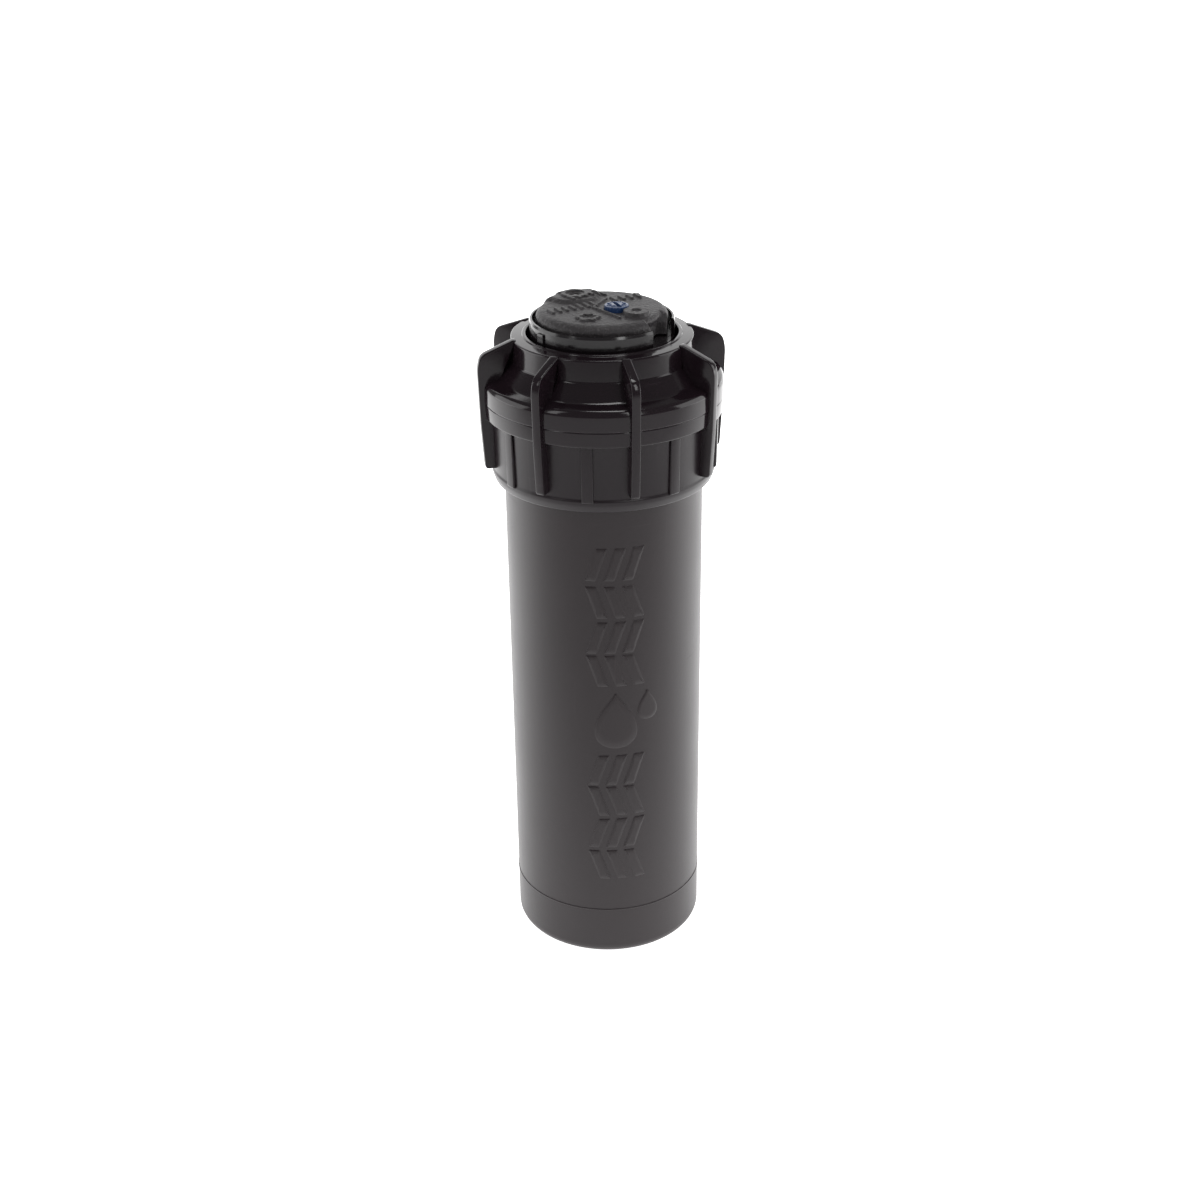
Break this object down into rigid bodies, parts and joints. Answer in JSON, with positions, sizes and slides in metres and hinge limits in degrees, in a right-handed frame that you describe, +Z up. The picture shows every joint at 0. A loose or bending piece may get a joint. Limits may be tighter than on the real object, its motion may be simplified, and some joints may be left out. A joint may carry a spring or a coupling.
{
  "type": "pop-up sprinkler",
  "caption": "Pop-up rotor sprinkler: round case with a finned screw cap, a sprung riser and a geared rotating nozzle turret under a rubber cover.",
  "frame": {"origin": "centre of the case's base, where the inlet opens", "axes": "+Z up along the riser's travel; -Y is the front, with the cap's first grip fin 14.3 degrees towards +X from it"},
  "size_m": [0.066, 0.066, 0.1878],
  "materials": {
    "case_black": "fine satin",
    "cap_black": "gloss",
    "turret_black": "gloss",
    "cover_rubber": "fine matt grain",
    "rubber_black": "smooth",
    "spring_steel": "drawn wire",
    "pin_steel": "ground",
    "riser_black": "satin",
    "screen_grey": "satin",
    "gearbox_black": "satin",
    "gear_white": "satin",
    "nozzle_grey": "satin",
    "screw_blue": "satin gloss"
  },
  "bodies": {
    "case": {"case_body": "case_black", "case_cap": "cap_black", "wiper_seal": "rubber_black", "spring_retainer": "riser_black", "retract_spring": "spring_steel"},
    "guide": {"ratchet_ring": "riser_black"},
    "riser": {"riser_stem": "riser_black", "clip_ring": "spring_steel", "inlet_screen": "screen_grey", "stator_plate": "screen_grey", "bypass_spring": "spring_steel", "gearbox_case": "gearbox_black", "gearbox_lid": "gearbox_black", "bearing_plate": "gearbox_black", "gear_pin": "pin_steel"},
    "bypass": {"bypass_poppet": "gear_white"},
    "turbine": {"turbine_wheel": "gear_white", "turbine_shaft": "pin_steel", "turbine_pinion": "gear_white"},
    "gear_1": {"reduction_gear_1": "gear_white"},
    "gear_2": {"reduction_gear_2": "gear_white"},
    "gear_3": {"reduction_gear_3": "gear_white"},
    "trip": {"trip_shaft": "pin_steel", "trip_lever": "gear_white", "reversing_flap": "gear_white"},
    "turret": {"nozzle_housing": "turret_black", "nozzle": "nozzle_grey", "drive_cup": "gear_white", "output_shaft": "pin_steel", "turret_seal": "rubber_black", "thrust_washer": "gear_white", "arc_ring_washer": "pin_steel", "top_cover": "cover_rubber"},
    "arc_ring": {"arc_adjust_ring": "gear_white"},
    "arc_knob": {"arc_screw": "screw_blue"},
    "jet_screw": {"radius_screw": "pin_steel"}
  },
  "joints": [
    {"name": "pop_up", "type": "slide", "parent": "case", "child": "guide", "axis": [0, 0, 1], "range_m": [0, 0.102], "stiffness_N_per_m": 150, "springref_m": -0.03, "deforming": ["retract_spring"]},
    {"name": "riser_aim", "type": "hinge", "parent": "guide", "child": "riser", "pos_m": [0, 0, 0.04], "axis": [0, 0, 1], "continuous": true},
    {"name": "turret_turn", "type": "hinge", "parent": "riser", "child": "turret", "pos_m": [0, 0, 0.15], "axis": [0, 0, 1], "continuous": true},
    {"name": "arc_set", "type": "hinge", "parent": "turret", "child": "arc_ring", "pos_m": [0, 0, 0.145], "axis": [0, 0, 1], "range_deg": [-160, 160]},
    {"name": "arc_screw_turn", "type": "hinge", "parent": "turret", "child": "arc_knob", "pos_m": [0.00381, -0.0022, 0.18], "axis": [0, 0, 1], "range_deg": [-600, 600]},
    {"name": "radius_set", "type": "slide", "parent": "turret", "child": "jet_screw", "axis": [0, 0, -1], "range_m": [0, 0.0045]},
    {"name": "turbine_spin", "type": "hinge", "parent": "riser", "child": "turbine", "pos_m": [0, 0, 0.06], "axis": [0, 0, 1], "continuous": true},
    {"name": "gear_1_turn", "type": "hinge", "parent": "riser", "child": "gear_1", "pos_m": [0, 0.0064, 0.08], "axis": [0, 0, 1], "continuous": true},
    {"name": "gear_2_turn", "type": "hinge", "parent": "riser", "child": "gear_2", "pos_m": [0, 0, 0.08], "axis": [0, 0, 1], "continuous": true},
    {"name": "gear_3_turn", "type": "hinge", "parent": "riser", "child": "gear_3", "pos_m": [0, 0.0064, 0.08], "axis": [0, 0, 1], "continuous": true},
    {"name": "trip_swing", "type": "hinge", "parent": "riser", "child": "trip", "pos_m": [0, -0.0138, 0.09], "axis": [0, 0, 1], "range_deg": [-18, 18]},
    {"name": "bypass_lift", "type": "slide", "parent": "riser", "child": "bypass", "axis": [0, 0, 1], "range_m": [0, 0.0015], "deforming": ["bypass_spring"]}
  ],
  "couplings": [
    {"joint": "turbine_spin", "follows": "turret_turn", "ratio": -81},
    {"joint": "gear_1_turn", "follows": "turret_turn", "ratio": 27},
    {"joint": "gear_2_turn", "follows": "turret_turn", "ratio": -9},
    {"joint": "gear_3_turn", "follows": "turret_turn", "ratio": 3},
    {"joint": "arc_screw_turn", "follows": "arc_set", "ratio": 3.75}
  ]
}
